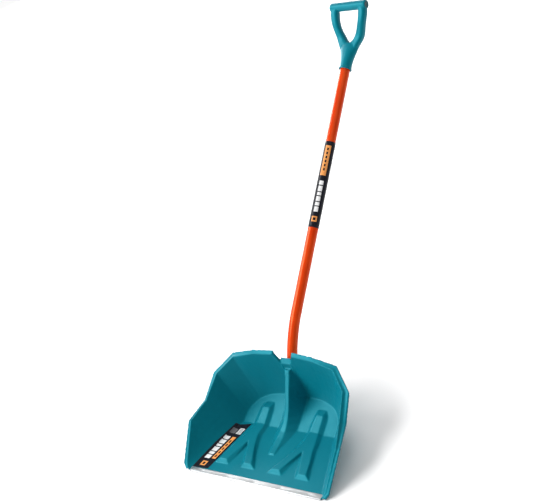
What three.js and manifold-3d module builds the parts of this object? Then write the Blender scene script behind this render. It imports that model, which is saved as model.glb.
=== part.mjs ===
// Household snow scoop with a bent aluminium shaft and a D-shaped hand grip.
// Millimetres, +Z up. X runs across the scoop, Y runs from its front edge back along the shaft.
// While the parts are drawn, the origin is the middle of the front edge, on the ground.

import * as THREE from 'three';
import { mergeVertices } from 'three/addons/utils/BufferGeometryUtils.js';
import ManifoldModule from 'manifold-3d';

const wasm = await ManifoldModule();
wasm.setup();
const { Manifold, Mesh: ManifoldMesh } = wasm;

// ---------------------------------------------------------------- driving dimensions

const GAP = 0.3;                    // air left between neighbouring pieces

// scoop
const STRIP_LENGTH = 448;           // working width, across the metal edge
const FLOOR = 4;                    // floor thickness, so the floor's top is this high
const WALL = 3;                     // wall thickness
const FRONT_HALF = 225;             // half the floor's width at the front
const CREASE_HALF = 158;            // half the floor's width where it starts to climb
const CREASE_Y = 197;               // how far back the flat floor reaches
const SLOPE = THREE.MathUtils.degToRad(20); // climb of the panel behind the crease
const ARCH_RISE = 103;              // length of that panel, up its own slope
const ARCH_POWER = 3;               // superellipse exponent of the panel's arched outline
const WALL_BULGE = 5;               // how far the side walls belly outwards
const SKIRT = 8;                    // height of the rim's outer edge
const SKIRT_WALL = 2.5;

// spine down the middle of the scoop, which houses the shaft socket
const SPINE_WALL = 3;

// raised ridges that stiffen the floor
const RIDGE_HEIGHT = 8;

// shaft
const TUBE_RADIUS = 15;
const TUBE_WALL = 1.4;
const SHAFT_BEND_RADIUS = 365;
const LOWER_ANGLE = THREE.MathUtils.degToRad(56);   // socket end, above the ground
const UPPER_ANGLE = THREE.MathUtils.degToRad(34.1); // grip end
const BEND_FOOT = { y: 326, z: 137 + FLOOR };       // where the straight socket end meets the bend
const SHAFT_FOOT = -95;             // lengths along the shaft, from the foot of the bend
const SHAFT_BEND = SHAFT_BEND_RADIUS * (LOWER_ANGLE - UPPER_ANGLE);
const COLLAR = SHAFT_BEND + 715;    // mouth of the grip
const TUBE_INSERT = 62;             // length of tube inside the grip
const LABEL_LENGTH = 254;
const LABEL_FROM_COLLAR = 222;

// socket
const SOCKET_WALL = 3.1;
const LINING_WALL = 1.8;            // least wall between the tube and the inside of the pan
const SOCKET_FOOT = SHAFT_FOOT - 9;
const SOCKET_TOP = 6;

// grip
const GRIP_BORE = TUBE_RADIUS + GAP;
const GRIP_TILT = THREE.MathUtils.degToRad(19.5); // of the D, up from the shaft
const GRIP_TILT_FROM = 60.4;        // where that tilt starts, up the shaft from the collar's mouth
const GRIP_SAG = 9.5;
const GRIP_THICK = 25;
const GRIP_ROUND = 9;               // rounding of the D's edges
const BAR_RADIUS = 13.5;
const BAR_HALF = 62;
const BAR_UP = 126.5;               // the bar's height up the D
const PLUG_RADIUS = 9.4;
const PLUG_SEAT = BAR_HALF - 5;     // bottom of the recess in each end of the bar

// metal edge
const STRIP_DEPTH = 16;
const STRIP_SHEET = 1.2;
const STRIP_HEIGHT = FLOOR + STRIP_SHEET;
const RIVET_Y = 9;
const RIVET_XS = [-184, -92, 0, 92, 184];

const TEAL = new THREE.MeshStandardMaterial({ color: 0x00798c, roughness: 0.42, metalness: 0 });
const ORANGE = new THREE.MeshStandardMaterial({ color: 0xe04400, roughness: 0.28, metalness: 0.1 });
const BRIGHT = new THREE.MeshStandardMaterial({ color: 0xdfe2e4, roughness: 0.35, metalness: 1 });
const ZINC = new THREE.MeshStandardMaterial({ color: 0xb4b8bc, roughness: 0.4, metalness: 1 });
const BLACK = new THREE.MeshStandardMaterial({ color: 0x16171a, roughness: 0.55, metalness: 0 });
const PRINT = new THREE.MeshStandardMaterial({ color: 0x101016, roughness: 0.3, metalness: 0 });

// ---------------------------------------------------------------- small helpers

const vec = (x, y, z) => new THREE.Vector3(x, y, z);
const mirrored = (p) => vec(-p.x, p.y, p.z);
const mix = (a, b, t) => a.clone().lerp(b, t);

function solidOf(geometry, matrix = new THREE.Matrix4()) {
  const bare = new THREE.BufferGeometry();
  bare.setAttribute('position', geometry.getAttribute('position').clone());
  if (geometry.index) bare.setIndex(geometry.index.clone());
  const merged = mergeVertices(bare.applyMatrix4(matrix), 1e-4);
  return new Manifold(new ManifoldMesh({
    numProp: 3,
    vertProperties: new Float32Array(merged.getAttribute('position').array),
    triVerts: new Uint32Array(merged.index.array),
  }));
}

function meshOf(name, solid, material) {
  const { vertProperties, triVerts } = solid.getMesh();
  const geometry = new THREE.BufferGeometry();
  geometry.setAttribute('position', new THREE.BufferAttribute(vertProperties, 3));
  geometry.setIndex(new THREE.BufferAttribute(triVerts, 1));
  geometry.computeVertexNormals();
  const mesh = new THREE.Mesh(geometry, material);
  mesh.name = name;
  return mesh;
}

const union = (...solids) => Manifold.union(solids);

// Triangles that close one ring of points, seen along the ring's own normal.
function capTriangles(ring) {
  const normal = vec(0, 0, 0);
  ring.forEach((p, i) => {
    const q = ring[(i + 1) % ring.length];
    normal.add(vec((p.y - q.y) * (p.z + q.z), (p.z - q.z) * (p.x + q.x), (p.x - q.x) * (p.y + q.y)));
  });
  const across = ring[1].clone().sub(ring[0]).projectOnPlane(normal).normalize();
  const up = normal.clone().normalize().cross(across);
  const flat = ring.map((p) => new THREE.Vector2(p.dot(across), p.dot(up)));
  return THREE.ShapeUtils.triangulateShape(flat, []);
}

// A closed solid through rings of points that all hold the same number of points.
function loft(rings) {
  const count = rings[0].length;
  const last = (rings.length - 1) * count;
  const index = [];
  capTriangles(rings[0]).forEach(([a, b, c]) => index.push(c, b, a));
  capTriangles(rings[rings.length - 1]).forEach(([a, b, c]) => index.push(last + a, last + b, last + c));
  for (let r = 0; r + 1 < rings.length; r += 1) {
    for (let k = 0; k < count; k += 1) {
      const a = r * count + k;
      const b = r * count + ((k + 1) % count);
      index.push(a, b, b + count, a, b + count, a + count);
    }
  }
  const points = rings.flat();
  const volume = index.reduce((sum, _, i) => {
    if (i % 3) return sum;
    const [a, b, c] = [points[index[i]], points[index[i + 1]], points[index[i + 2]]];
    return sum + a.dot(b.clone().cross(c));
  }, 0);
  if (volume < 0) index.reverse();
  const geometry = new THREE.BufferGeometry().setFromPoints(points);
  geometry.setIndex(index);
  return solidOf(geometry);
}

function boxAt(width, depth, height, matrix) {
  return solidOf(new THREE.BoxGeometry(width, depth, height), matrix);
}

// A flat outline in X and Y, pulled up along Z between two heights.
function plate(points, low, high) {
  const shape = new THREE.Shape(points.map(([x, y]) => new THREE.Vector2(x, y)));
  const geometry = new THREE.ExtrudeGeometry(shape, { depth: high - low, bevelEnabled: false });
  return solidOf(geometry, new THREE.Matrix4().makeTranslation(0, 0, low));
}

// A turned solid: profile points are radius and height, and its axis is Z before it is placed.
function turned(profile, matrix, segments = 24) {
  const points = profile.map(([radius, height]) => new THREE.Vector2(radius, height));
  if (THREE.ShapeUtils.isClockWise(points)) points.reverse();
  const lathe = new THREE.LatheGeometry([...points, points[0].clone()], segments);
  return solidOf(lathe, new THREE.Matrix4().makeRotationX(Math.PI / 2).premultiply(matrix));
}

// ---------------------------------------------------------------- the shaft's path

function shaftAngle(s) {
  const bent = THREE.MathUtils.clamp(s / SHAFT_BEND_RADIUS, 0, LOWER_ANGLE - UPPER_ANGLE);
  return LOWER_ANGLE - bent;
}

function shaftPoint(s) {
  const angle = shaftAngle(s);
  const straight = s < 0 ? s : Math.max(0, s - SHAFT_BEND);
  const y = BEND_FOOT.y + SHAFT_BEND_RADIUS * (Math.sin(LOWER_ANGLE) - Math.sin(angle));
  const z = BEND_FOOT.z + SHAFT_BEND_RADIUS * (Math.cos(angle) - Math.cos(LOWER_ANGLE));
  return vec(0, y + straight * Math.cos(angle), z + straight * Math.sin(angle));
}

// The frame at length s: its Z runs up the shaft, its Y points to the shaft's underside.
function shaftFrame(s) {
  const place = shaftPoint(s);
  return new THREE.Matrix4().makeRotationX(shaftAngle(s) - Math.PI / 2)
    .premultiply(new THREE.Matrix4().makeTranslation(place.x, place.y, place.z));
}

// A round solid that follows the shaft between two lengths.
function alongShaft(radius, from, to, segments = 36) {
  const bends = Array.from({ length: 13 }, (_, i) => (SHAFT_BEND * i) / 12);
  const stops = [from, ...bends.filter((s) => s > from && s < to), to];
  return loft(stops.map((s) => Array.from({ length: segments }, (_, k) => {
    const turn = (2 * Math.PI * (k + 0.5)) / segments;
    return vec(radius * Math.cos(turn), radius * Math.sin(turn), 0).applyMatrix4(shaftFrame(s));
  })));
}

// ---------------------------------------------------------------- scoop

// A point of the climbing panel, from its place across and its length up the slope.
function onSlope(x, up, lift = 0) {
  const y = CREASE_Y + up * Math.cos(SLOPE) - lift * Math.sin(SLOPE);
  return vec(x, y, FLOOR + up * Math.sin(SLOPE) + lift * Math.cos(SLOPE));
}

// Foot of the wall: 0 to 1 runs back along the flat floor, 1 to 2 runs round the arch.
function wallFoot(t) {
  if (t <= 1) return vec(THREE.MathUtils.lerp(FRONT_HALF, CREASE_HALF, t), 3 + (CREASE_Y - 3) * t, FLOOR);
  const turn = ((t - 1) * Math.PI) / 2;
  const power = 2 / ARCH_POWER;
  return onSlope(CREASE_HALF * Math.max(0, Math.cos(turn)) ** power, ARCH_RISE * Math.sin(turn) ** power);
}

// The rim's right half, from the front corner to the middle of the back: where the wall's foot is,
// the wall's crest, the rim's outer edge, and how far the rim drops between them.
// Heights are above the floor's top.
const RIM = [
  { foot: 0.00, crest: [230, 4, 5], edge: [238, 3, 4], drop: 1 },
  { foot: 0.07, crest: [237, 16, 14], edge: [248, 14, 14], drop: 3 },
  { foot: 0.53, crest: [248, 106, 86], edge: [259, 106, 83], drop: 5 },
  { foot: 0.90, crest: [228, 174, 104], edge: [243, 179, 95], drop: 5 },
  { foot: 1.12, crest: [216, 241, 143], edge: [233, 247, 139], drop: 5 },
  { foot: 1.45, crest: [171, 285, 171], edge: [179, 300, 174], drop: 2 },
  { foot: 1.77, crest: [101, 294, 183], edge: [99, 304, 192], drop: 0 },
  { foot: 1.934, crest: [34, 299, 185], edge: [32, 310, 193], drop: 0 },
  { foot: 1.940, crest: [32, 299, 184], edge: [30, 307, 186], drop: 0 },
  { foot: 1.972, crest: [19, 300, 156], edge: [18, 308, 158], drop: 0 },
  { foot: 1.978, crest: [17, 300, 152], edge: [17, 311, 167], drop: 0 },
  { foot: 2.00, crest: [0, 300, 152], edge: [0, 311, 167], drop: 0 },
];

function rimStations() {
  const read = ({ foot, crest, edge, drop }) => ({
    foot: wallFoot(foot),
    crest: vec(crest[0], crest[1], crest[2] + FLOOR),
    edge: vec(edge[0], edge[1], edge[2] + FLOOR),
    drop,
  });
  const half = [];
  RIM.slice(0, -1).forEach((from, i) => {
    const to = RIM[i + 1];
    const pieces = to.foot - from.foot > 0.1 ? 4 : 1;
    for (let k = 0; k < pieces; k += 1) {
      const t = k / pieces;
      const a = read(from);
      const b = read(to);
      half.push({
        foot: wallFoot(THREE.MathUtils.lerp(from.foot, to.foot, t)),
        crest: mix(a.crest, b.crest, t),
        edge: mix(a.edge, b.edge, t),
        drop: THREE.MathUtils.lerp(a.drop, b.drop, t),
      });
    }
  });
  const middle = read(RIM[RIM.length - 1]);
  const other = half.map((s) => ({
    foot: mirrored(s.foot), crest: mirrored(s.crest), edge: mirrored(s.edge), drop: s.drop,
  }));
  return [...half, middle, ...other.reverse()];
}

// Inner face of the wall at one station, from foot to crest, slightly bellied.
const WALL_STEPS = [0, 0.12, 0.3, 0.5, 0.72, 0.93, 1];

function wallLine({ foot, crest }) {
  const out = vec(foot.x, Math.max(0, foot.y - CREASE_Y) * 1.5, 0).normalize();
  const belly = mix(foot, crest, 0.4).addScaledVector(out, WALL_BULGE * 2).add(vec(0, 0, -WALL_BULGE));
  const size = THREE.MathUtils.clamp((crest.z - foot.z) / 60, 0, 1);
  const control = mix(mix(foot, crest, 0.5), belly, size);
  const curve = new THREE.QuadraticBezierCurve3(foot, control, crest);
  return WALL_STEPS.map((t) => curve.getPoint(t));
}

// Walls and rim in one band: each station gives a closed ring round the wall's thickness.
function wallBand() {
  const stations = rimStations();
  const lines = stations.map(wallLine);
  const rings = stations.map(({ crest, edge, drop }, i) => {
    const line = lines[i];
    const before = lines[Math.max(0, i - 1)];
    const after = lines[Math.min(lines.length - 1, i + 1)];
    const outside = line.slice(0, -1).map((p, j) => {
      const along = after[j].clone().sub(before[j]);
      const up = line[j + 1].clone().sub(line[Math.max(0, j - 1)]);
      const normal = along.cross(up).normalize();
      if (normal.x * p.x + normal.y * (p.y - 100) < 0) normal.negate();
      return p.clone().addScaledVector(normal, WALL);
    });
    outside[0].z = line[0].z - FLOOR;
    const out = vec(edge.x - crest.x, edge.y - crest.y, 0).normalize();
    const knee = mix(crest, edge, 0.4).add(vec(0, 0, -drop));
    const skirt = edge.clone().add(vec(0, 0, -SKIRT));
    const inner = skirt.clone().addScaledVector(out, -SKIRT_WALL);
    const under = inner.clone().add(vec(0, 0, Math.max(0.5, SKIRT / 2 - (edge.z - crest.z) / 5)));
    const lowKnee = knee.clone().add(vec(0, 0, -4));
    const sole = line[0].clone().add(vec(0, 0, -FLOOR));
    return [sole, ...line, knee, edge, skirt, inner, under, lowKnee, ...outside.reverse()];
  });
  return loft(rings);
}

function floorPlate() {
  const reach = 1.5; // into the wall, so that the two join
  const front = STRIP_DEPTH + 2.5;
  const widen = (y) => wallFoot((y - 3) / (CREASE_Y - 3)).x + reach;
  const flat = plate([
    [-widen(front), front], [widen(front), front], [widen(CREASE_Y), CREASE_Y + 2],
    [-widen(CREASE_Y), CREASE_Y + 2],
  ], 0, FLOOR);
  const tongueHalf = FRONT_HALF + 1;
  const tongue = plate([
    [-tongueHalf, 2], [tongueHalf, 2], [widen(front), front + 2], [-widen(front), front + 2],
  ], STRIP_SHEET + GAP, FLOOR - GAP);
  return union(flat, tongue);
}

function slopePanel() {
  const reach = 1.5; // into the wall, so that the two join
  const right = Array.from({ length: 13 }, (_, i) => wallFoot(1 + i / 12));
  const left = right.slice(0, -1).map(mirrored).reverse();
  const upper = [...right, ...left].map((p) => (
    vec(p.x + Math.sign(p.x) * reach, p.y + (p.y > CREASE_Y + 60 ? reach : 0), p.z)));
  const lower = upper.map((p) => p.clone().add(vec(0, 0, -FLOOR)));
  return loft([lower, upper]);
}

// One half of the floor's pair of ridges: two limbs that join and run up the slope as one stem.
const RIDGE_FOOT = [
  [163, 45], [113, 45], [93, 121], [70, 45], [19, 45], [43, 90], [59, 133], [66, 160], [66, CREASE_Y],
  [120, CREASE_Y], [133, 136], [144, 94],
];
const RIDGE_TOP = [
  [148, 57], [123, 57], [94, 134], [61, 57], [36, 57], [51, 91], [69, 130], [78, 160], [78, CREASE_Y],
  [107, CREASE_Y], [123, 136], [137, 96],
];
const STEM_FOOT = [
  [120, -2], [119, 30], [117, 47], [113, 59], [103, 72], [76, 72], [70, 50], [67, 26], [66, -2],
];
const STEM_TOP = [
  [107, -2], [106, 30], [105, 44], [104.5, 49], [103, 52], [83, 52], [80.5, 46], [79, 26], [78, -2],
];

function ridgePair(side) {
  const onFloor = ([x, y], height) => vec(side * x, y, FLOOR + height);
  const onPanel = ([x, up], height) => onSlope(side * x, up, height);
  const limbs = loft([RIDGE_FOOT.map((p) => onFloor(p, -1)), RIDGE_TOP.map((p) => onFloor(p, RIDGE_HEIGHT))]);
  const stem = loft([STEM_FOOT.map((p) => onPanel(p, -1)), STEM_TOP.map((p) => onPanel(p, RIDGE_HEIGHT))]);
  return union(limbs, stem);
}

// The spine, station by station from its front tip upwards: the middle of its free edge in Y and Z, half
// the width of that edge, and its foot on the right. Heights are above the floor's top.
// The last feet are on the back wall, and the edge ends in a slightly wider pad.
const SPINE = [
  { edge: [104, -1], half: 7, foot: [9, 101, 0] },
  { edge: [107, 2.5], half: 9, foot: [12, 106, 0] },
  { edge: [133, 5], half: 9.5, foot: [17, 132, 0] },
  { edge: [157, 8.5], half: 9.5, foot: [24, 153, 0] },
  { edge: [178, 13.5], half: 8.5, foot: [29, 174, 0] },
  { edge: [196, 22], half: 7, foot: [33, CREASE_Y, 0] },
  { edge: [212, 34], half: 6.5, foot: [32.5, 220, 8.4] },
  { edge: [230, 52], half: 6.5, foot: [31.5, 244, 17.1] },
  { edge: [247, 74], half: 6.5, foot: [30, 270, 26.6] },
  { edge: [262, 94], half: 6.5, foot: [28, 294, 35.3] },
  { edge: [279, 115], half: 6.5, foot: [25, 300, 84] },
  { edge: [284, 122], half: 6.5, foot: [21, 300.5, 103] },
  { edge: [284, 123], half: 7.8, foot: [20.5, 300.5, 105] },
  { edge: [292, 135], half: 7.8, foot: [12, 301, 134] },
];

function spineSolid(inset) {
  const first = inset > 0 ? 3 : 0;
  const last = SPINE.length - 1;
  return loft(SPINE.slice(first).map(({ edge, half, foot }, i) => {
    const from = SPINE[Math.max(0, first + i - 1)].edge;
    const to = SPINE[Math.min(last, first + i + 1)].edge;
    const run = new THREE.Vector2(to[0] - from[0], to[1] - from[1]).normalize();
    const y = edge[0] + run.y * inset;
    const z = FLOOR + edge[1] - run.x * inset;
    const width = half - inset * 0.8;
    const reach = inset > 0 ? 14 : 1.5; // into the wall or the floor, or out through it
    const onWall = foot[1] > 290;
    const onFloor = foot[1] < 295;
    const footX = Math.max(width + 0.5, foot[0] - inset * 1.15);
    const footY = foot[1] + (onWall ? reach : 0);
    const footZ = FLOOR + foot[2] - (onFloor ? reach : 0);
    return [vec(-width, y, z), vec(width, y, z), vec(footX, footY, footZ), vec(-footX, footY, footZ)];
  }));
}

// The tube socket inside the spine, with the ribs that tie it to the spine and the back wall.
// It is kept to the spine and to what lies behind the wall, save for a thin lining round the tube.
function socketSolid() {
  const radius = TUBE_RADIUS + GAP + SOCKET_WALL;
  const barrel = alongShaft(radius, SOCKET_FOOT, SOCKET_TOP);
  const wings = boxAt(58, 3, 44, new THREE.Matrix4().makeTranslation(0, 4, -24).premultiply(shaftFrame(0)));
  const cheek = [[298, 90], [298, 146], [312, 149], [325, 139]];
  const cheeks = [-1, 1].map((side) => loft([15, 18].map((x) => (
    cheek.map(([y, z]) => vec(side * x, y, z + FLOOR))))));
  const behindWall = boxAt(80, 60, 200, new THREE.Matrix4().makeTranslation(0, 329.5, 100));
  const lining = alongShaft(TUBE_RADIUS + GAP + LINING_WALL, SOCKET_FOOT, -20);
  return union(union(barrel, wings, ...cheeks).intersect(union(spineSolid(0), behindWall)), lining);
}

// Room for the metal edge, cut from the front ends of the walls.
function stripRoom() {
  const depth = STRIP_DEPTH + 1.5 + 2 * GAP;
  const height = STRIP_HEIGHT + 2 * GAP;
  const place = new THREE.Matrix4().makeTranslation(0, depth / 2 - GAP, height / 2 - GAP);
  return boxAt(STRIP_LENGTH + 2 * GAP, depth, height, place);
}

function scoopSolid() {
  const walls = wallBand().subtract(stripRoom());
  const shell = union(walls, floorPlate(), slopePanel(), ridgePair(1), ridgePair(-1), spineSolid(0));
  const hollow = spineSolid(SPINE_WALL);
  const bore = alongShaft(TUBE_RADIUS + GAP, SHAFT_FOOT - 5, SOCKET_TOP + 40);
  return union(shell.subtract(hollow), socketSolid()).subtract(bore)
    .subtract(union(...socketScrews().map((m) => screwHole(m))))
    .subtract(union(...rivetPlaces().map((m) => rivetHole(m))));
}

// ---------------------------------------------------------------- fasteners

// Screw places: Z points out of the head, and the head's underside is at the origin.
function screwPlace(s, seat) {
  return new THREE.Matrix4().makeRotationX(-Math.PI / 2)
    .premultiply(new THREE.Matrix4().makeTranslation(0, seat, 0)).premultiply(shaftFrame(s));
}

const socketScrews = () => [-14, -52].map((s) => screwPlace(s, TUBE_RADIUS + GAP + SOCKET_WALL + 0.4));
const gripScrew = () => screwPlace(COLLAR + 28, 17.6);

function screwSolid(place) {
  const head = [[0, 0], [3.9, 0], [3.9, 1], [3.2, 2.2], [1.6, 2.8], [0, 2.8]];
  const body = turned([[0, -8], [1, -8], [2, -6.5], [2, 0.1], [0, 0.1]], place, 16);
  const slots = [0, Math.PI / 2].map((turn) => boxAt(0.9, 4, 2.4,
    new THREE.Matrix4().makeRotationZ(turn).premultiply(new THREE.Matrix4().makeTranslation(0, 0, 3))
      .premultiply(place)));
  return union(turned(head, place, 20), body).subtract(union(...slots));
}

const screwHole = (place) => turned([[0, -9], [2.3, -9], [2.3, 3], [0, 3]], place, 16);

const rivetPlaces = () => RIVET_XS.map((x) => new THREE.Matrix4().makeTranslation(x, RIVET_Y, 0));

// A rivet drawn flush at both ends, and the hole that it leaves.
function rivetSolid(place) {
  const low = 0.05;
  const high = STRIP_HEIGHT - 0.05;
  return turned([
    [0, low], [3.3, low], [1.9, low + 1.3], [1.9, high - 1.3], [3.3, high], [0, high],
  ], place, 20);
}

function rivetHole(place) {
  const high = STRIP_HEIGHT;
  return turned([
    [0, -1], [4.8, -1], [2.2, 1.6], [2.2, high - 1.6], [4.8, high + 1], [0, high + 1],
  ], place, 20);
}

// ---------------------------------------------------------------- other pieces

// U-shaped aluminium edge, pressed over the front of the floor.
function stripSolid() {
  const nose = STRIP_HEIGHT / 2;
  const shape = new THREE.Shape();
  shape.moveTo(STRIP_DEPTH + 1.5, 0).lineTo(STRIP_DEPTH + 1.5, STRIP_SHEET);
  shape.lineTo(nose, STRIP_SHEET).absarc(nose, nose, nose - STRIP_SHEET, -Math.PI / 2, Math.PI / 2, true);
  shape.lineTo(STRIP_DEPTH, STRIP_HEIGHT - STRIP_SHEET).lineTo(STRIP_DEPTH, STRIP_HEIGHT);
  shape.lineTo(nose, STRIP_HEIGHT).absarc(nose, nose, nose, Math.PI / 2, -Math.PI / 2, false);
  const geometry = new THREE.ExtrudeGeometry(shape, {
    depth: STRIP_LENGTH, bevelEnabled: false, curveSegments: 8,
  });
  const place = new THREE.Matrix4().makeBasis(vec(0, 1, 0), vec(0, 0, 1), vec(1, 0, 0))
    .setPosition(-STRIP_LENGTH / 2, 0, 0);
  return solidOf(geometry, place).subtract(union(...rivetPlaces().map((m) => rivetHole(m))));
}

function tubeSolid() {
  const outer = alongShaft(TUBE_RADIUS, SHAFT_FOOT, COLLAR + TUBE_INSERT);
  const inner = alongShaft(TUBE_RADIUS - TUBE_WALL, SHAFT_FOOT - 1, COLLAR + TUBE_INSERT + 1);
  const holes = [...socketScrews(), gripScrew()].map((m) => screwHole(m));
  return outer.subtract(inner).subtract(union(...holes));
}

function tubePlug() {
  const r = TUBE_RADIUS;
  return turned([
    [0, -3], [r - 1, -3], [r - 0.2, -2.2], [r - 0.2, -GAP], [r - TUBE_WALL - GAP, -GAP],
    [r - TUBE_WALL - GAP, 12], [r - TUBE_WALL - 1.5, 14], [0, 14],
  ], shaftFrame(SHAFT_FOOT), 36);
}

function shaftLabel() {
  const top = COLLAR - LABEL_FROM_COLLAR;
  const outer = alongShaft(TUBE_RADIUS + 0.45, top - LABEL_LENGTH, top);
  return outer.subtract(alongShaft(TUBE_RADIUS + 0.1, top - LABEL_LENGTH - 1, top + 1));
}

// The floor label lies between the left wall and the outer ridge, and laps a little way up the wall.
function floorLabel() {
  const stations = rimStations().filter((s) => s.foot.x > 0 && s.foot.y > 15 && s.foot.y < CREASE_Y - 5);
  const feet = stations.map((s) => s.foot);
  const laps = stations.map((s) => wallLine(s)[1]);
  const last = stations.length - 1;
  const along = (p) => (p.y - 21) / 162;
  const edgeX = (p) => THREE.MathUtils.lerp(168.5, 128, along(p));
  const inners = feet.map((p) => vec(edgeX(p), p.y + 3 + 3 * along(p), p.z));
  feet[last] = mix(feet[last - 1], feet[last], 0.65);
  laps[last] = mix(laps[last - 1], laps[last], 0.35);
  const up = vec(0, 0, 1);
  const inward = vec(-0.7, 0, 0.7);
  const lift = (p, way, height) => mirrored(p.clone().addScaledVector(way, height));
  return loft(stations.map((_, i) => {
    const sole = [lift(inners[i], up, 0.15), lift(feet[i], up, 0.2), lift(laps[i], inward, 0.15)];
    const face = [lift(inners[i], up, 0.4), lift(feet[i], up, 0.55), lift(laps[i], inward, 0.45)];
    return [...sole, ...face.reverse()];
  }));
}

// ---------------------------------------------------------------- grip

// The grip's D is tilted up from the shaft's line. In its own frame Z runs up the D and -Y to its upper side.
function gripFrame() {
  return new THREE.Matrix4().makeRotationX(GRIP_TILT)
    .premultiply(new THREE.Matrix4().makeTranslation(0, 0, GRIP_TILT_FROM)).premultiply(shaftFrame(COLLAR));
}

// The D's arms sag towards its underside around the crotch.
const sag = (up) => GRIP_SAG * Math.exp(-(((up - 38) / 26) ** 2));
const onDee = (x, out, up) => vec(x, out + sag(up), up).applyMatrix4(gripFrame());
const smooth = (points, steps) => (
  new THREE.SplineCurve(points.map(([x, y]) => new THREE.Vector2(x, y))).getPoints(steps));

// A ring round a rectangle with rounded corners, given by its half sizes.
function roundedRing(width, height, radius) {
  const corners = [[1, 1], [-1, 1], [-1, -1], [1, -1]];
  return corners.flatMap(([x, y], quarter) => [0, 1, 2, 3, 4].map((k) => {
    const turn = ((quarter + k / 4) * Math.PI) / 2;
    return [x * (width - radius) + radius * Math.cos(turn), y * (height - radius) + radius * Math.sin(turn)];
  }));
}

// The D without its opening: a stack of rounded sections, given by half width and height.
function deeBody() {
  const sides = smooth([
    [12, -13], [24, -2], [40, 27], [49, 51], [57.5, 85], [60.5, 108], [57, 120], [46, 126],
  ], 28);
  return loft(sides.map((side) => roundedRing(side.x, GRIP_THICK / 2, GRIP_ROUND)
    .map(([x, out]) => onDee(x, out, side.y))));
}

// The D's opening, flared towards both faces so that its edges come out rounded.
function deeOpening() {
  const right = smooth([[1, 23], [13, 34], [26.5, 60], [33.5, 87], [35.5, 116]], 20);
  const outline = [...right, ...right.map((p) => new THREE.Vector2(-p.x, p.y)).reverse()];
  const turns = [-3, -2, -1, 0, 1, 2, 3].map((k) => (k * Math.PI) / 6);
  const layers = turns.map((turn) => ({
    flare: GRIP_ROUND * (1 - Math.cos(turn)),
    out: GRIP_ROUND * Math.sin(turn) + Math.sign(turn) * (GRIP_THICK / 2 - GRIP_ROUND),
  }));
  const clear = GRIP_THICK; // well outside the D on both sides
  layers.unshift({ flare: GRIP_ROUND, out: -clear });
  layers.push({ flare: GRIP_ROUND, out: clear });
  return loft(layers.map(({ flare, out }) => outline.map((p, i) => {
    const before = outline[(i + outline.length - 1) % outline.length];
    const after = outline[(i + 1) % outline.length];
    const along = after.clone().sub(before).normalize();
    return onDee(p.x + along.y * flare, out, p.y - along.x * flare);
  })));
}

function gripSolid() {
  const place = shaftFrame(COLLAR);
  const stem = [
    { z: 0, x: 19.5, y: 19.5 }, { z: 4, x: 19.3, y: 19.3 }, { z: 8, x: 17.8, y: 17.8 },
    { z: 25, x: 18.3, y: 18 }, { z: 45, x: 23, y: 18 }, { z: 60, x: 28.5, y: 17.4 }, { z: 70, x: 31, y: 16 },
    { z: 80, x: 27, y: 11, lean: -2 },
  ];
  const neck = loft(stem.map(({ z, x, y, lean = 0 }) => Array.from({ length: 36 }, (_, k) => {
    const turn = (2 * Math.PI * (k + 0.5)) / 36;
    return vec(x * Math.cos(turn), y * Math.sin(turn) + lean, z).applyMatrix4(place);
  })));
  const dee = deeBody().subtract(deeOpening());
  const r = BAR_RADIUS;
  const half = [[0, BAR_HALF], [r - 3.5, BAR_HALF], [r - 1, BAR_HALF - 1.5], [r, BAR_HALF - 5]];
  const bar = turned([...half, ...half.map(([radius, z]) => [radius, -z]).reverse()], barPlace(), 32);
  const wide = PLUG_RADIUS + GAP;
  const recess = [[0, PLUG_SEAT], [wide, PLUG_SEAT], [wide, BAR_HALF + 5], [0, BAR_HALF + 5]];
  const recesses = [-1, 1].map((side) => turned(recess.map(([radius, z]) => [radius, side * z]), barPlace()));
  const bore = alongShaft(GRIP_BORE, COLLAR - 5, COLLAR + TUBE_INSERT + 1);
  const screwSeat = turned([[0, -GAP], [4.4, -GAP], [4.4, 8], [0, 8]], gripScrew());
  return union(neck, dee, bar)
    .subtract(union(bore, ...recesses, screwSeat, screwHole(gripScrew())));
}

// The bar's own frame: Z along X.
function barPlace() {
  return new THREE.Matrix4().makeRotationY(Math.PI / 2)
    .premultiply(new THREE.Matrix4().makeTranslation(0, 0, BAR_UP)).premultiply(gripFrame());
}

function barPlug(side) {
  const seat = PLUG_SEAT + GAP;
  const face = seat + 3.6;
  const r = PLUG_RADIUS;
  const profile = [
    [0, seat], [r, seat], [r, face - 0.6], [r - 0.8, face], [4, face], [3, face - 1], [0, face - 1],
  ];
  return turned(profile.map(([radius, z]) => [radius, side * z]), barPlace());
}

// ---------------------------------------------------------------- assembly

const shovel = new THREE.Group();
shovel.add(
  meshOf('scoop', scoopSolid(), TEAL),
  meshOf('wear_strip', stripSolid(), BRIGHT),
  ...rivetPlaces().map((place, i) => meshOf(`strip_rivet_${i + 1}`, rivetSolid(place), BRIGHT)),
  meshOf('shaft_tube', tubeSolid(), ORANGE),
  meshOf('tube_end_plug', tubePlug(), BLACK),
  ...socketScrews().map((place, i) => meshOf(`socket_screw_${i + 1}`, screwSolid(place), ZINC)),
  meshOf('shaft_label', shaftLabel(), PRINT),
  meshOf('floor_label', floorLabel(), PRINT),
  meshOf('hand_grip', gripSolid(), TEAL),
  meshOf('grip_screw', screwSolid(gripScrew()), ZINC),
  meshOf('bar_plug_left', barPlug(-1), BLACK),
  meshOf('bar_plug_right', barPlug(1), BLACK),
);

// The finished part's origin is under the middle of its box, on the ground.
const middle = new THREE.Box3().setFromObject(shovel).getCenter(vec(0, 0, 0));
shovel.position.set(0, -middle.y, 0);

export default shovel;
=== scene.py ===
"""A household snow scoop in a plain studio: teal pan and grip, painted shaft, bright metal edge.

The CAD frame gives every place and size. Metres, +Z up, +Y from the metal edge back to the grip.
"""

import math

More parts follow.
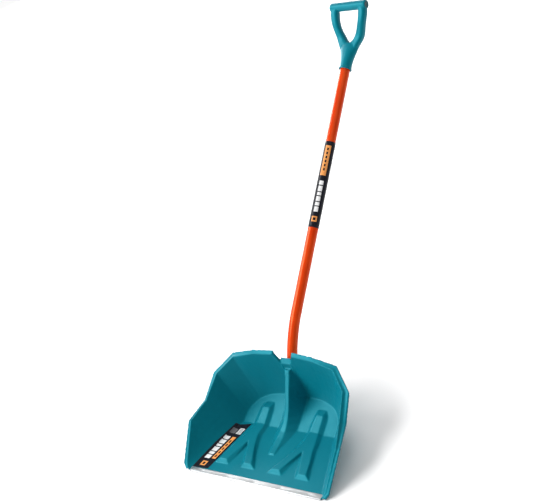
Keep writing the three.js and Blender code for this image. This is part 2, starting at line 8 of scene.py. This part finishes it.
import bmesh
import bpy
from mathutils import Matrix, Vector
from mathutils.bvhtree import BVHTree


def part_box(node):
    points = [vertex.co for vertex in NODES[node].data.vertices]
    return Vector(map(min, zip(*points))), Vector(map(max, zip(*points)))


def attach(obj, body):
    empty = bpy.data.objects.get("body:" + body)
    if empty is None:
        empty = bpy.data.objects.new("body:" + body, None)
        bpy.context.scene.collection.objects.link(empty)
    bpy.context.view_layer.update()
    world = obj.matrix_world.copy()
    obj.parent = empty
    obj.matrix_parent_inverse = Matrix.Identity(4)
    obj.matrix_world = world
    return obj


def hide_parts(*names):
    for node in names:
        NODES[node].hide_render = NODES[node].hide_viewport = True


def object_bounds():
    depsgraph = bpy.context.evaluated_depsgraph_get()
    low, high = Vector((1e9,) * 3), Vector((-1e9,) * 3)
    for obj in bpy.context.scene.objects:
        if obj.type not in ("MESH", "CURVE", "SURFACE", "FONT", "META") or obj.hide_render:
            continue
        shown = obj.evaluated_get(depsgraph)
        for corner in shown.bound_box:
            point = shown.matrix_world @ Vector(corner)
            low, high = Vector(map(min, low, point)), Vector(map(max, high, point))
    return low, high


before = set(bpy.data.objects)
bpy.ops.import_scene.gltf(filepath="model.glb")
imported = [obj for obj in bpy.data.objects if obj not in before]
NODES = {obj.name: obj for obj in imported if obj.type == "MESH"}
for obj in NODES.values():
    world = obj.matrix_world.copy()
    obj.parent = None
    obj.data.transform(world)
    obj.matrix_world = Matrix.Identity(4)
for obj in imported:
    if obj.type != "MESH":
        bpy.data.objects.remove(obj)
cad_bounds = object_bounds()
MM = 0.001

# ---------------------------------------------------------------- looks, colours are linear

TEAL = (0.0, 0.145, 0.195)
TEAL_LIGHT = (0.001, 0.158, 0.212)
TEAL_CLOUD = (0.008, 0.2, 0.25)
TEAL_WORN = (0.04, 0.32, 0.4)
ORANGE = (0.62, 0.032, 0.001)
ORANGE_LIGHT = (0.7, 0.05, 0.003)
ORANGE_RUBBED = (0.75, 0.1, 0.014)
ALUMINIUM = (0.6, 0.61, 0.62)
ALUMINIUM_DULL = (0.55, 0.57, 0.59)
ALUMINIUM_LINE = (0.5, 0.51, 0.53)
ZINC = (0.52, 0.53, 0.55)
ZINC_BLOOM = (0.68, 0.68, 0.66)
PLUG_TEAL = (0.0, 0.045, 0.06)
PLUG_HAZE = (0.003, 0.07, 0.09)
BLACK = (0.018, 0.018, 0.02)
BLACK_HAZE = (0.035, 0.035, 0.038)
INK = (0.008, 0.009, 0.014)
INK_HAZE = (0.014, 0.015, 0.022)
PATCH = (0.8, 0.32, 0.09)
WHITE_INK = (0.8, 0.8, 0.8)
GREY_INK = (0.13, 0.13, 0.14)
FLOOR_PAINT = (0.94, 0.94, 0.94)


class Nodes:
    """A material's node tree, with short ways to add and join nodes."""

    def __init__(self, name):
        self.material = bpy.data.materials.new(name)
        self.material.use_nodes = True
        self.tree = self.material.node_tree
        self.shader = self.tree.nodes["Principled BSDF"]

    def add(self, kind, **inputs):
        """A new node; an input's name is given with underscores for its spaces."""
        node = self.tree.nodes.new(kind)
        for key, value in inputs.items():
            self.put(node.inputs[key.replace("_", " ")], value)
        return node

    def put(self, socket, value):
        """Links another node's socket to this one, or sets this one to a number or colour."""
        if isinstance(value, bpy.types.NodeSocket):
            self.tree.links.new(value, socket)
        elif socket.type == "RGBA":
            socket.default_value = (*value, 1)
        else:
            socket.default_value = value

    def set(self, **inputs):
        """Links or sets inputs of the shader itself."""
        for key, value in inputs.items():
            self.put(self.shader.inputs[key.replace("_", " ")], value)

    def maths(self, operation, a, b):
        node = self.tree.nodes.new("ShaderNodeMath")
        node.operation = operation
        self.put(node.inputs[0], a)
        self.put(node.inputs[1], b)
        return node.outputs[0]

    def noise(self, scale, detail, roughness, stretch=(1, 1, 1)):
        """Noise with this many features to the metre, still in the object's own frame."""
        source = self.tree.nodes.new("ShaderNodeTexCoord")
        place = self.add("ShaderNodeMapping", Vector=source.outputs["Object"], Scale=stretch)
        node = self.add("ShaderNodeTexNoise", Vector=place.outputs[0], Scale=scale)
        self.put(node.inputs["Detail"], detail)
        self.put(node.inputs["Roughness"], roughness)
        return node.outputs["Fac"]

    def spread(self, value, low, high, from_low=0.3, from_high=0.7):
        """Maps a value to the range from low to high; noise mostly lies between 0.3 and 0.7."""
        ends = {"From_Min": from_low, "From_Max": from_high, "To_Min": low, "To_Max": high}
        return self.add("ShaderNodeMapRange", Value=value, **ends).outputs[0]

    def mix(self, factor, a, b):
        node = self.tree.nodes.new("ShaderNodeMix")
        node.data_type = "RGBA"
        self.put(node.inputs[0], factor)
        self.put(node.inputs[6], a)
        self.put(node.inputs[7], b)
        return node.outputs[2]

    def bump(self, height, distance, strength, normal=None):
        node = self.add("ShaderNodeBump", Height=height, Distance=distance, Strength=strength)
        if normal is not None:
            self.put(node.inputs["Normal"], normal)
        return node.outputs[0]

    def edges(self, low, high):
        """0 on flats to 1 on outward edges, where moulded plastic wears first."""
        geometry = self.tree.nodes.new("ShaderNodeNewGeometry")
        return self.spread(geometry.outputs["Pointiness"], 0.0, 1.0, low, high)


def moulded_plastic():
    """Glossy polypropylene with a fine moulded grain, faint flow marks and paler edges."""
    n = Nodes("moulded_plastic")
    flow = n.noise(9, 4, 0.55, (1.0, 0.45, 1.0))
    tone = n.mix(n.spread(flow, 0.0, 1.0), TEAL, TEAL_LIGHT)
    cloud = n.noise(38, 3, 0.6)
    tone = n.mix(n.spread(cloud, 0.0, 0.1), tone, TEAL_CLOUD)
    worn = n.maths("MULTIPLY", n.edges(0.52, 0.64), 0.16)
    tone = n.mix(worn, tone, TEAL_WORN)
    rough = n.spread(n.noise(60, 4, 0.6), 0.34, 0.42)
    grain = n.bump(n.noise(2600, 2, 0.5), 0.00006, 0.35)
    waves = n.bump(n.noise(16, 2, 0.4), 0.0006, 0.22, grain)
    n.set(Base_Color=tone, Roughness=rough, Normal=waves)
    n.set(IOR=1.49, Specular_IOR_Level=0.45, Specular_Tint=(0.12, 0.85, 1.0))
    return n.material


def painted_tube():
    """Powder-coated tube: slight orange peel, tone drift and a few rubs along its length."""
    n = Nodes("painted_tube")
    drift = n.noise(14, 3, 0.5)
    tone = n.mix(n.spread(drift, 0.0, 1.0), ORANGE, ORANGE_LIGHT)
    rubs = n.noise(180, 5, 0.7, (1.0, 0.12, 0.12))
    tone = n.mix(n.spread(rubs, 0.0, 0.12, 0.62, 0.78), tone, ORANGE_RUBBED)
    rough = n.spread(n.noise(90, 4, 0.6), 0.18, 0.27)
    peel = n.bump(n.noise(700, 2, 0.4), 0.00008, 0.5)
    n.set(Base_Color=tone, Roughness=rough, Normal=peel)
    n.set(Specular_IOR_Level=0.5, Specular_Tint=(1.0, 0.55, 0.22))
    return n.material


def extruded_aluminium():
    """Satin extruded edge: fine lines along X, duller patches and small scuffs."""
    n = Nodes("extruded_aluminium")
    lines = n.noise(520, 6, 0.65, (0.02, 1.0, 1.0))
    patches = n.noise(22, 4, 0.6)
    tone = n.mix(n.spread(patches, 0.0, 0.25), ALUMINIUM, ALUMINIUM_DULL)
    tone = n.mix(n.spread(lines, 0.0, 0.1), tone, ALUMINIUM_LINE)
    rough = n.spread(lines, 0.34, 0.44)
    scuffs = n.noise(300, 5, 0.7, (0.3, 1.0, 1.0))
    hair = n.bump(lines, 0.00003, 0.15)
    marks = n.bump(n.spread(scuffs, 0.0, 1.0, 0.62, 0.7), 0.00004, 0.15, hair)
    n.set(Base_Color=tone, Roughness=rough, Normal=marks, Metallic=1.0)
    return n.material


def zinc_plate():
    """Zinc-plated steel with a cloudy bloom."""
    n = Nodes("zinc_plate")
    bloom = n.noise(240, 4, 0.6)
    tone = n.mix(n.spread(bloom, 0.0, 1.0), ZINC, ZINC_BLOOM)
    n.set(Base_Color=tone, Roughness=n.spread(bloom, 0.28, 0.5), Metallic=1.0)
    n.set(Normal=n.bump(n.noise(900, 3, 0.5), 0.00004, 0.4))
    return n.material


def plug_material(name, dark, pale, smoothest, roughest):
    """The soft moulded plastic of plugs: a fine grain under a faint haze."""
    n = Nodes(name)
    haze = n.noise(120, 4, 0.6)
    tone = n.mix(n.spread(haze, 0.0, 1.0), dark, pale)
    n.set(Base_Color=tone, Roughness=n.spread(haze, smoothest, roughest))
    n.set(Normal=n.bump(n.noise(1800, 2, 0.5), 0.00006, 0.4))
    return n.material


# ---------------------------------------------------------------- printed labels


class Print(Nodes):
    """A printed film whose marks are plain boxes, drawn in mm on the label's own UV map."""

    def __init__(self, name):
        super().__init__(name)
        uv = self.tree.nodes.new("ShaderNodeUVMap")
        uv.uv_map = "label_mm"
        split = self.add("ShaderNodeSeparateXYZ", Vector=uv.outputs[0])
        self.along, self.across = split.outputs[0], split.outputs[1]
        haze = self.noise(150, 3, 0.5)
        self.tone = self.mix(self.spread(haze, 0.0, 1.0), INK, INK_HAZE)

    def inside(self, value, low, high):
        """1 where the value lies between the two limits, otherwise 0."""
        above = self.maths("GREATER_THAN", value, low)
        below = self.maths("LESS_THAN", value, high)
        return self.maths("MULTIPLY", above, below)

    def block(self, along, across, colour):
        """Prints a box over what is there already; its sides are given as pairs of limits."""
        columns = self.inside(self.along, *along)
        rows = self.inside(self.across, *across)
        self.tone = self.mix(self.maths("MULTIPLY", columns, rows), self.tone, colour)

    def finish(self):
        """The film's gloss and slight ripples."""
        rough = self.spread(self.noise(80, 3, 0.5), 0.22, 0.34)
        ripple = self.bump(self.noise(45, 2, 0.4), 0.0002, 0.25)
        self.set(Base_Color=self.tone, Roughness=rough, Normal=ripple, Specular_IOR_Level=0.12)
        return self.material


def shaft_print():
    """The shaft label's marks, in mm down from its upper end and mm round from its top line."""
    p = Print("shaft_print")
    p.block((13, 102), (-2, 15), PATCH)
    for start in range(20, 92, 12):
        p.block((start, start + 8), (4, 9), INK)
    for start, width in ((118, 12), (133, 16), (152, 9), (164, 14), (181, 10), (194, 15)):
        p.block((start, start + width), (1, 13), WHITE_INK)
    p.block((222, 238), (-1, 15), PATCH)
    p.block((226, 234), (3, 11), INK)
    return p.finish()


def floor_print():
    """The floor label's marks, in mm back from its front end and mm out from its inner edge."""
    p = Print("floor_print")
    p.block((10, 26), (19, 37), PATCH)
    p.block((14, 22), (24, 32), INK)
    for start, width in ((36, 13), (52, 9), (64, 15), (82, 8), (93, 14), (110, 12)):
        p.block((start, start + width), (26, 44), WHITE_INK)
    p.block((38, 122), (6, 19), PATCH)
    for start in range(44, 114, 14):
        p.block((start, start + 9), (10, 15), INK)
    p.block((134, 152), (24, 42), GREY_INK)
    p.block((134, 156), (4, 20), WHITE_INK)
    for start in range(136, 154, 4):
        p.block((start, start + 1.5), (6, 18), INK)
    return p.finish()


# ---------------------------------------------------------------- pieces

PLASTIC = moulded_plastic()
PAINT = painted_tube()
METAL = extruded_aluminium()
SCREW = zinc_plate()
MATTE = plug_material("matte_plastic", BLACK, BLACK_HAZE, 0.45, 0.62)
PLUG = plug_material("plug_plastic", PLUG_TEAL, PLUG_HAZE, 0.4, 0.55)

WELD = 0.01 * MM  # corners nearer than this are one
FLAT = math.radians(1)  # faces that meet at less are one
SMALL_BEVEL = 0.1 * MM  # rounding on screws and rivets
FILM = 0.35 * MM  # thickness of the printed sleeve
FILM_EDGE = 0.12 * MM  # rounding of its ends
STICKER_FLAT = 0.02  # in radians, as FLAT but for the sticker in the pan
STICKER_MESH = 6 * MM  # longest edge of its mesh
STICKER_TOP = 0.5 * MM  # height of its face over the moulding
STICKER_SOLE = 0.1 * MM  # height of its underside
STICKER_MIDDLE = 0.28 * MM  # tells the CAD film's face from its underside


def placed(name, data):
    """A new object in the scene."""
    thing = bpy.data.objects.new(name, data)
    bpy.context.scene.collection.objects.link(thing)
    return thing


def welded_copy(node, name):
    """A new object with the CAD node's surface, its split corners joined again."""
    mesh = bmesh.new()
    mesh.from_mesh(NODES[node].data)
    bmesh.ops.remove_doubles(mesh, verts=mesh.verts, dist=WELD)
    data = bpy.data.meshes.new(name)
    mesh.to_mesh(data)
    mesh.free()
    return placed(name, data)


def settle(piece, node, material):
    """Last steps for every piece: its material, the node it stands for and the body it rides on."""
    piece.data.materials.clear()
    piece.data.materials.append(material)
    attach(piece, "root")
    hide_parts(node)
    return piece


def bake_modifiers(piece):
    """Replaces the piece's mesh by what its modifiers make of it, shaded smooth."""
    graph = bpy.context.evaluated_depsgraph_get()
    data = bpy.data.meshes.new_from_object(piece.evaluated_get(graph))
    piece.modifiers.clear()
    piece.data = data
    data.polygons.foreach_set("use_smooth", [True] * len(data.polygons))


def moulded(node, name, voxel, passes):
    """A CAD node as one moulding: remeshed finely, then smoothed to round its edges and joins."""
    piece = welded_copy(node, name)
    remesh = piece.modifiers.new("remesh", "REMESH")
    remesh.mode = "VOXEL"
    remesh.voxel_size = voxel
    soften = piece.modifiers.new("soften", "SMOOTH")
    soften.factor = 0.5
    soften.iterations = passes
    bake_modifiers(piece)
    return settle(piece, node, PLASTIC)


def machined(node, name, material, angle=35, bevel=0.25 * MM):
    """A CAD node with small rounded edges, smooth where its faces meet at less than the angle."""
    piece = welded_copy(node, name)
    mesh = bmesh.new()
    mesh.from_mesh(piece.data)
    bmesh.ops.dissolve_limit(mesh, angle_limit=FLAT, verts=mesh.verts, edges=mesh.edges)
    mesh.to_mesh(piece.data)
    mesh.free()
    round_off = piece.modifiers.new("round", "BEVEL")
    round_off.width = bevel
    round_off.segments = 2
    round_off.limit_method = "ANGLE"
    round_off.angle_limit = math.radians(angle)
    bake_modifiers(piece)
    piece.data.set_sharp_from_angle(angle=math.radians(angle))
    settle(piece, node, material)


scoop = moulded("scoop", "scoop_moulding", voxel=1.6 * MM, passes=5)
moulded("hand_grip", "grip_moulding", voxel=1.1 * MM, passes=14)
machined("shaft_tube", "painted_shaft", PAINT, angle=40, bevel=0.3 * MM)
machined("wear_strip", "metal_edge", METAL, angle=30, bevel=0.2 * MM)
machined("tube_end_plug", "shaft_end_plug", MATTE)
machined("bar_plug_left", "grip_plug_left", PLUG)
machined("bar_plug_right", "grip_plug_right", PLUG)
machined("grip_screw", "grip_fixing_screw", SCREW, bevel=SMALL_BEVEL)
for i in (1, 2):
    name = f"socket_fixing_screw_{i}"
    machined(f"socket_screw_{i}", name, SCREW, bevel=SMALL_BEVEL)
for i in (1, 2, 3, 4, 5):
    machined(f"strip_rivet_{i}", f"edge_rivet_{i}", METAL, bevel=SMALL_BEVEL)


def mean(points):
    """The middle of some points."""
    return sum(points, Vector()) / len(points)


def sleeve_axis(points, middle):
    """The sleeve's direction, up towards the grip, and its half length."""
    far = max(points, key=lambda p: (p - middle).length)
    axis = Vector((0, far.y - middle.y, far.z - middle.z)).normalized()
    for _ in range(4):  # settle on the direction along which the end rims lie furthest apart
        ends = [p for p in points if abs((p - middle).dot(axis)) > 0.8 * (far - middle).length]
        upper = [p for p in ends if (p - middle).dot(axis) > 0]
        lower = [p for p in ends if (p - middle).dot(axis) < 0]
        axis = (mean(upper) - mean(lower)).normalized()
    if axis.z < 0:
        axis.negate()
    return axis, max((p - middle).dot(axis) for p in points)


def shaft_sleeve():
    """The printed sleeve: a thin smooth tube on the CAD sleeve's axis, with a millimetre UV map."""
    points = [v.co for v in NODES["shaft_label"].data.vertices]
    middle = mean(points)
    low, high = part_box("shaft_label")
    radius = (high.x - low.x) / 2
    axis, half = sleeve_axis(points, middle)
    side = Vector((1, 0, 0))
    top = side.cross(axis)
    sides, rows = 96, 24
    mesh = bmesh.new()
    uv = mesh.loops.layers.uv.new("label_mm")
    inner, shoulder, end = radius - FILM, radius - FILM_EDGE, half - FILM_EDGE
    profile = [(half, inner), (half, shoulder), (end, radius)]
    profile += [(half - 2 * half * k / rows, radius) for k in range(1, rows)]
    profile += [(-end, radius), (-half, shoulder), (-half, inner)]
    rings = []
    for along, r in profile:
        ring = []
        for k in range(sides):
            turn = 2 * math.pi * k / sides
            offset = top * math.cos(turn) * r + side * math.sin(turn) * r
            ring.append(mesh.verts.new(middle + axis * along + offset))
        rings.append(ring)
    rings.append(rings[0])
    profile.append(profile[0])
    for (a0, _), (a1, _), ring, following in zip(profile, profile[1:], rings, rings[1:]):
        for k in range(sides):
            after = (k + 1) % sides
            face = mesh.faces.new((ring[k], following[k], following[after], ring[after]))
            face.smooth = True
            turns = (k, k, k + 1, k + 1)
            heights = (a0, a1, a1, a0)
            for loop, turn, height in zip(face.loops, turns, heights):
                around = 2 * math.pi * (turn - sides * (turn > sides / 2)) / sides * radius
                loop[uv].uv = ((half - height) / MM, around / MM)
    bmesh.ops.recalc_face_normals(mesh, faces=mesh.faces)
    data = bpy.data.meshes.new("shaft_sleeve")
    mesh.to_mesh(data)
    mesh.free()
    sleeve = placed("shaft_sleeve", data)
    data.set_sharp_from_angle(angle=math.radians(50))
    settle(sleeve, "shaft_label", shaft_print())


def surface_of(thing):
    """A search tree over an object's faces."""
    mesh = bmesh.new()
    mesh.from_mesh(thing.data)
    tree = BVHTree.FromBMesh(mesh)
    mesh.free()
    return tree


def floor_sticker():
    """The sticker in the pan: the CAD film, cut finely and laid down on the moulding."""
    piece = welded_copy("floor_label", "pan_sticker")
    skin = surface_of(scoop)
    cad_skin = surface_of(NODES["scoop"])
    mesh = bmesh.new()
    mesh.from_mesh(piece.data)
    bmesh.ops.dissolve_limit(mesh, angle_limit=STICKER_FLAT, verts=mesh.verts, edges=mesh.edges)
    bmesh.ops.triangulate(mesh, faces=mesh.faces)
    for _ in range(4):
        long_edges = [e for e in mesh.edges if e.calc_length() > STICKER_MESH]
        bmesh.ops.subdivide_edges(mesh, edges=long_edges, cuts=1, use_grid_fill=True)
        bmesh.ops.triangulate(mesh, faces=mesh.faces)
    low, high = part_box("floor_label")
    end_zone = 6 * MM
    at_front = [v.co for v in mesh.verts if v.co.y < low.y + end_zone]
    at_back = [v.co for v in mesh.verts if v.co.y > high.y - end_zone]
    front = max(at_front, key=lambda p: p.x).copy()
    back = max(at_back, key=lambda p: p.x).copy()
    uv = mesh.loops.layers.uv.new("label_mm")
    for face in mesh.faces:
        face.smooth = True
        for loop in face.loops:
            p = loop.vert.co
            inner_edge = front.x + (back.x - front.x) * (p.y - front.y) / (back.y - front.y)
            up_wall = max(0.0, p.z - low.z - 0.5 * MM)
            across = inner_edge - p.x + up_wall * 0.4
            loop[uv].uv = ((p.y - low.y) / MM, across / MM)
    for vert in mesh.verts:
        gap = cad_skin.find_nearest(vert.co)[3]
        place, normal, _, _ = skin.find_nearest(vert.co)
        vert.co = place + normal * (STICKER_TOP if gap > STICKER_MIDDLE else STICKER_SOLE)
    mesh.to_mesh(piece.data)
    mesh.free()
    settle(piece, "floor_label", floor_print())


shaft_sleeve()
floor_sticker()

# ---------------------------------------------------------------- studio


LIGHTS = (  # name, direction from the aim, distance, width, height, radiance
    ("key_light", (-0.60, -0.30, 0.74), 6.5, 5.8, 3.2, 8.4),
    ("back_card", (-0.75, 0.62, 0.28), 5.0, 3.6, 2.2, 7.0),
    ("front_card", (-0.60, -0.76, 0.25), 5.0, 2.4, 1.8, 6.0),
    ("top_light", (0.3, 0.3, 1.0), 9.0, 8.0, 8.0, 0.7),
)
SKY_STRENGTH = 0.4
FLOOR_HALF = 30.0
FLOOR_DROP = 0.2 * MM  # the floor lies this far below the scoop's underside

CAMERA_AZIMUTH = math.radians(46.50)
CAMERA_ELEVATION = math.radians(32.04)
CAMERA_ROLL = math.radians(-26.04)
CAMERA_LENS = 70.71
CAMERA_SENSOR = 36
CAMERA_FROM_EDGE = Vector((1.8252, -1.2657, 1.9925))  # from the metal edge's middle, on the ground


def studio_floor():
    """A plain pale floor, level with the scoop's underside."""
    ground = cad_bounds[0][2] - FLOOR_DROP
    signs = ((-1, -1), (1, -1), (1, 1), (-1, 1))
    corners = [(x * FLOOR_HALF, y * FLOOR_HALF, ground) for x, y in signs]
    mesh = bpy.data.meshes.new("studio_floor")
    mesh.from_pydata(corners, [], [(0, 1, 2, 3)])
    plane = placed("studio_floor", mesh)
    n = Nodes("studio_floor")
    n.set(Base_Color=FLOOR_PAINT, Roughness=0.9)
    mesh.materials.append(n.material)


def softbox(name, direction, distance, wide, high, radiance, target):
    """A rectangular area light of even radiance that looks at the target from a direction."""
    light = bpy.data.lights.new(name, "AREA")
    light.shape = "RECTANGLE"
    light.size = wide
    light.size_y = high
    light.energy = radiance * math.pi * wide * high
    lamp = placed(name, light)
    away = Vector(direction).normalized()
    lamp.location = target + away * distance
    lamp.rotation_euler = away.to_track_quat("Z", "Y").to_euler()


def studio_lights():
    """Soft lights round the scoop, under an even white sky."""
    low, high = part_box("scoop")
    for light in LIGHTS:
        softbox(*light, target=(low + high) / 2)
    world = bpy.data.worlds.new("studio")
    world.use_nodes = True
    sky = world.node_tree.nodes["Background"]
    sky.inputs["Color"].default_value = (1, 1, 1, 1)
    sky.inputs["Strength"].default_value = SKY_STRENGTH
    bpy.context.scene.world = world
    bpy.context.scene.view_settings.view_transform = "Standard"


def studio_camera():
    """Looks down at the scoop from its right front corner, rolled so that the shaft is upright."""
    forward = Vector((
        -math.sin(CAMERA_AZIMUTH) * math.cos(CAMERA_ELEVATION),
        math.cos(CAMERA_AZIMUTH) * math.cos(CAMERA_ELEVATION),
        -math.sin(CAMERA_ELEVATION),
    ))
    level = Vector((math.cos(CAMERA_AZIMUTH), math.sin(CAMERA_AZIMUTH), 0))
    up = level.cross(forward)
    right = level * math.cos(CAMERA_ROLL) + up * math.sin(CAMERA_ROLL)
    top = up * math.cos(CAMERA_ROLL) - level * math.sin(CAMERA_ROLL)
    camera = bpy.data.cameras.new("camera")
    camera.sensor_width = CAMERA_SENSOR
    camera.lens = CAMERA_LENS
    view = placed("camera", camera)
    edge_middle = Vector((0, cad_bounds[0][1], cad_bounds[0][2]))
    turned = Matrix((right, top, -forward)).transposed().to_4x4()
    view.matrix_world = Matrix.Translation(edge_middle + CAMERA_FROM_EDGE) @ turned
    bpy.context.scene.camera = view


studio_floor()
studio_lights()
studio_camera()
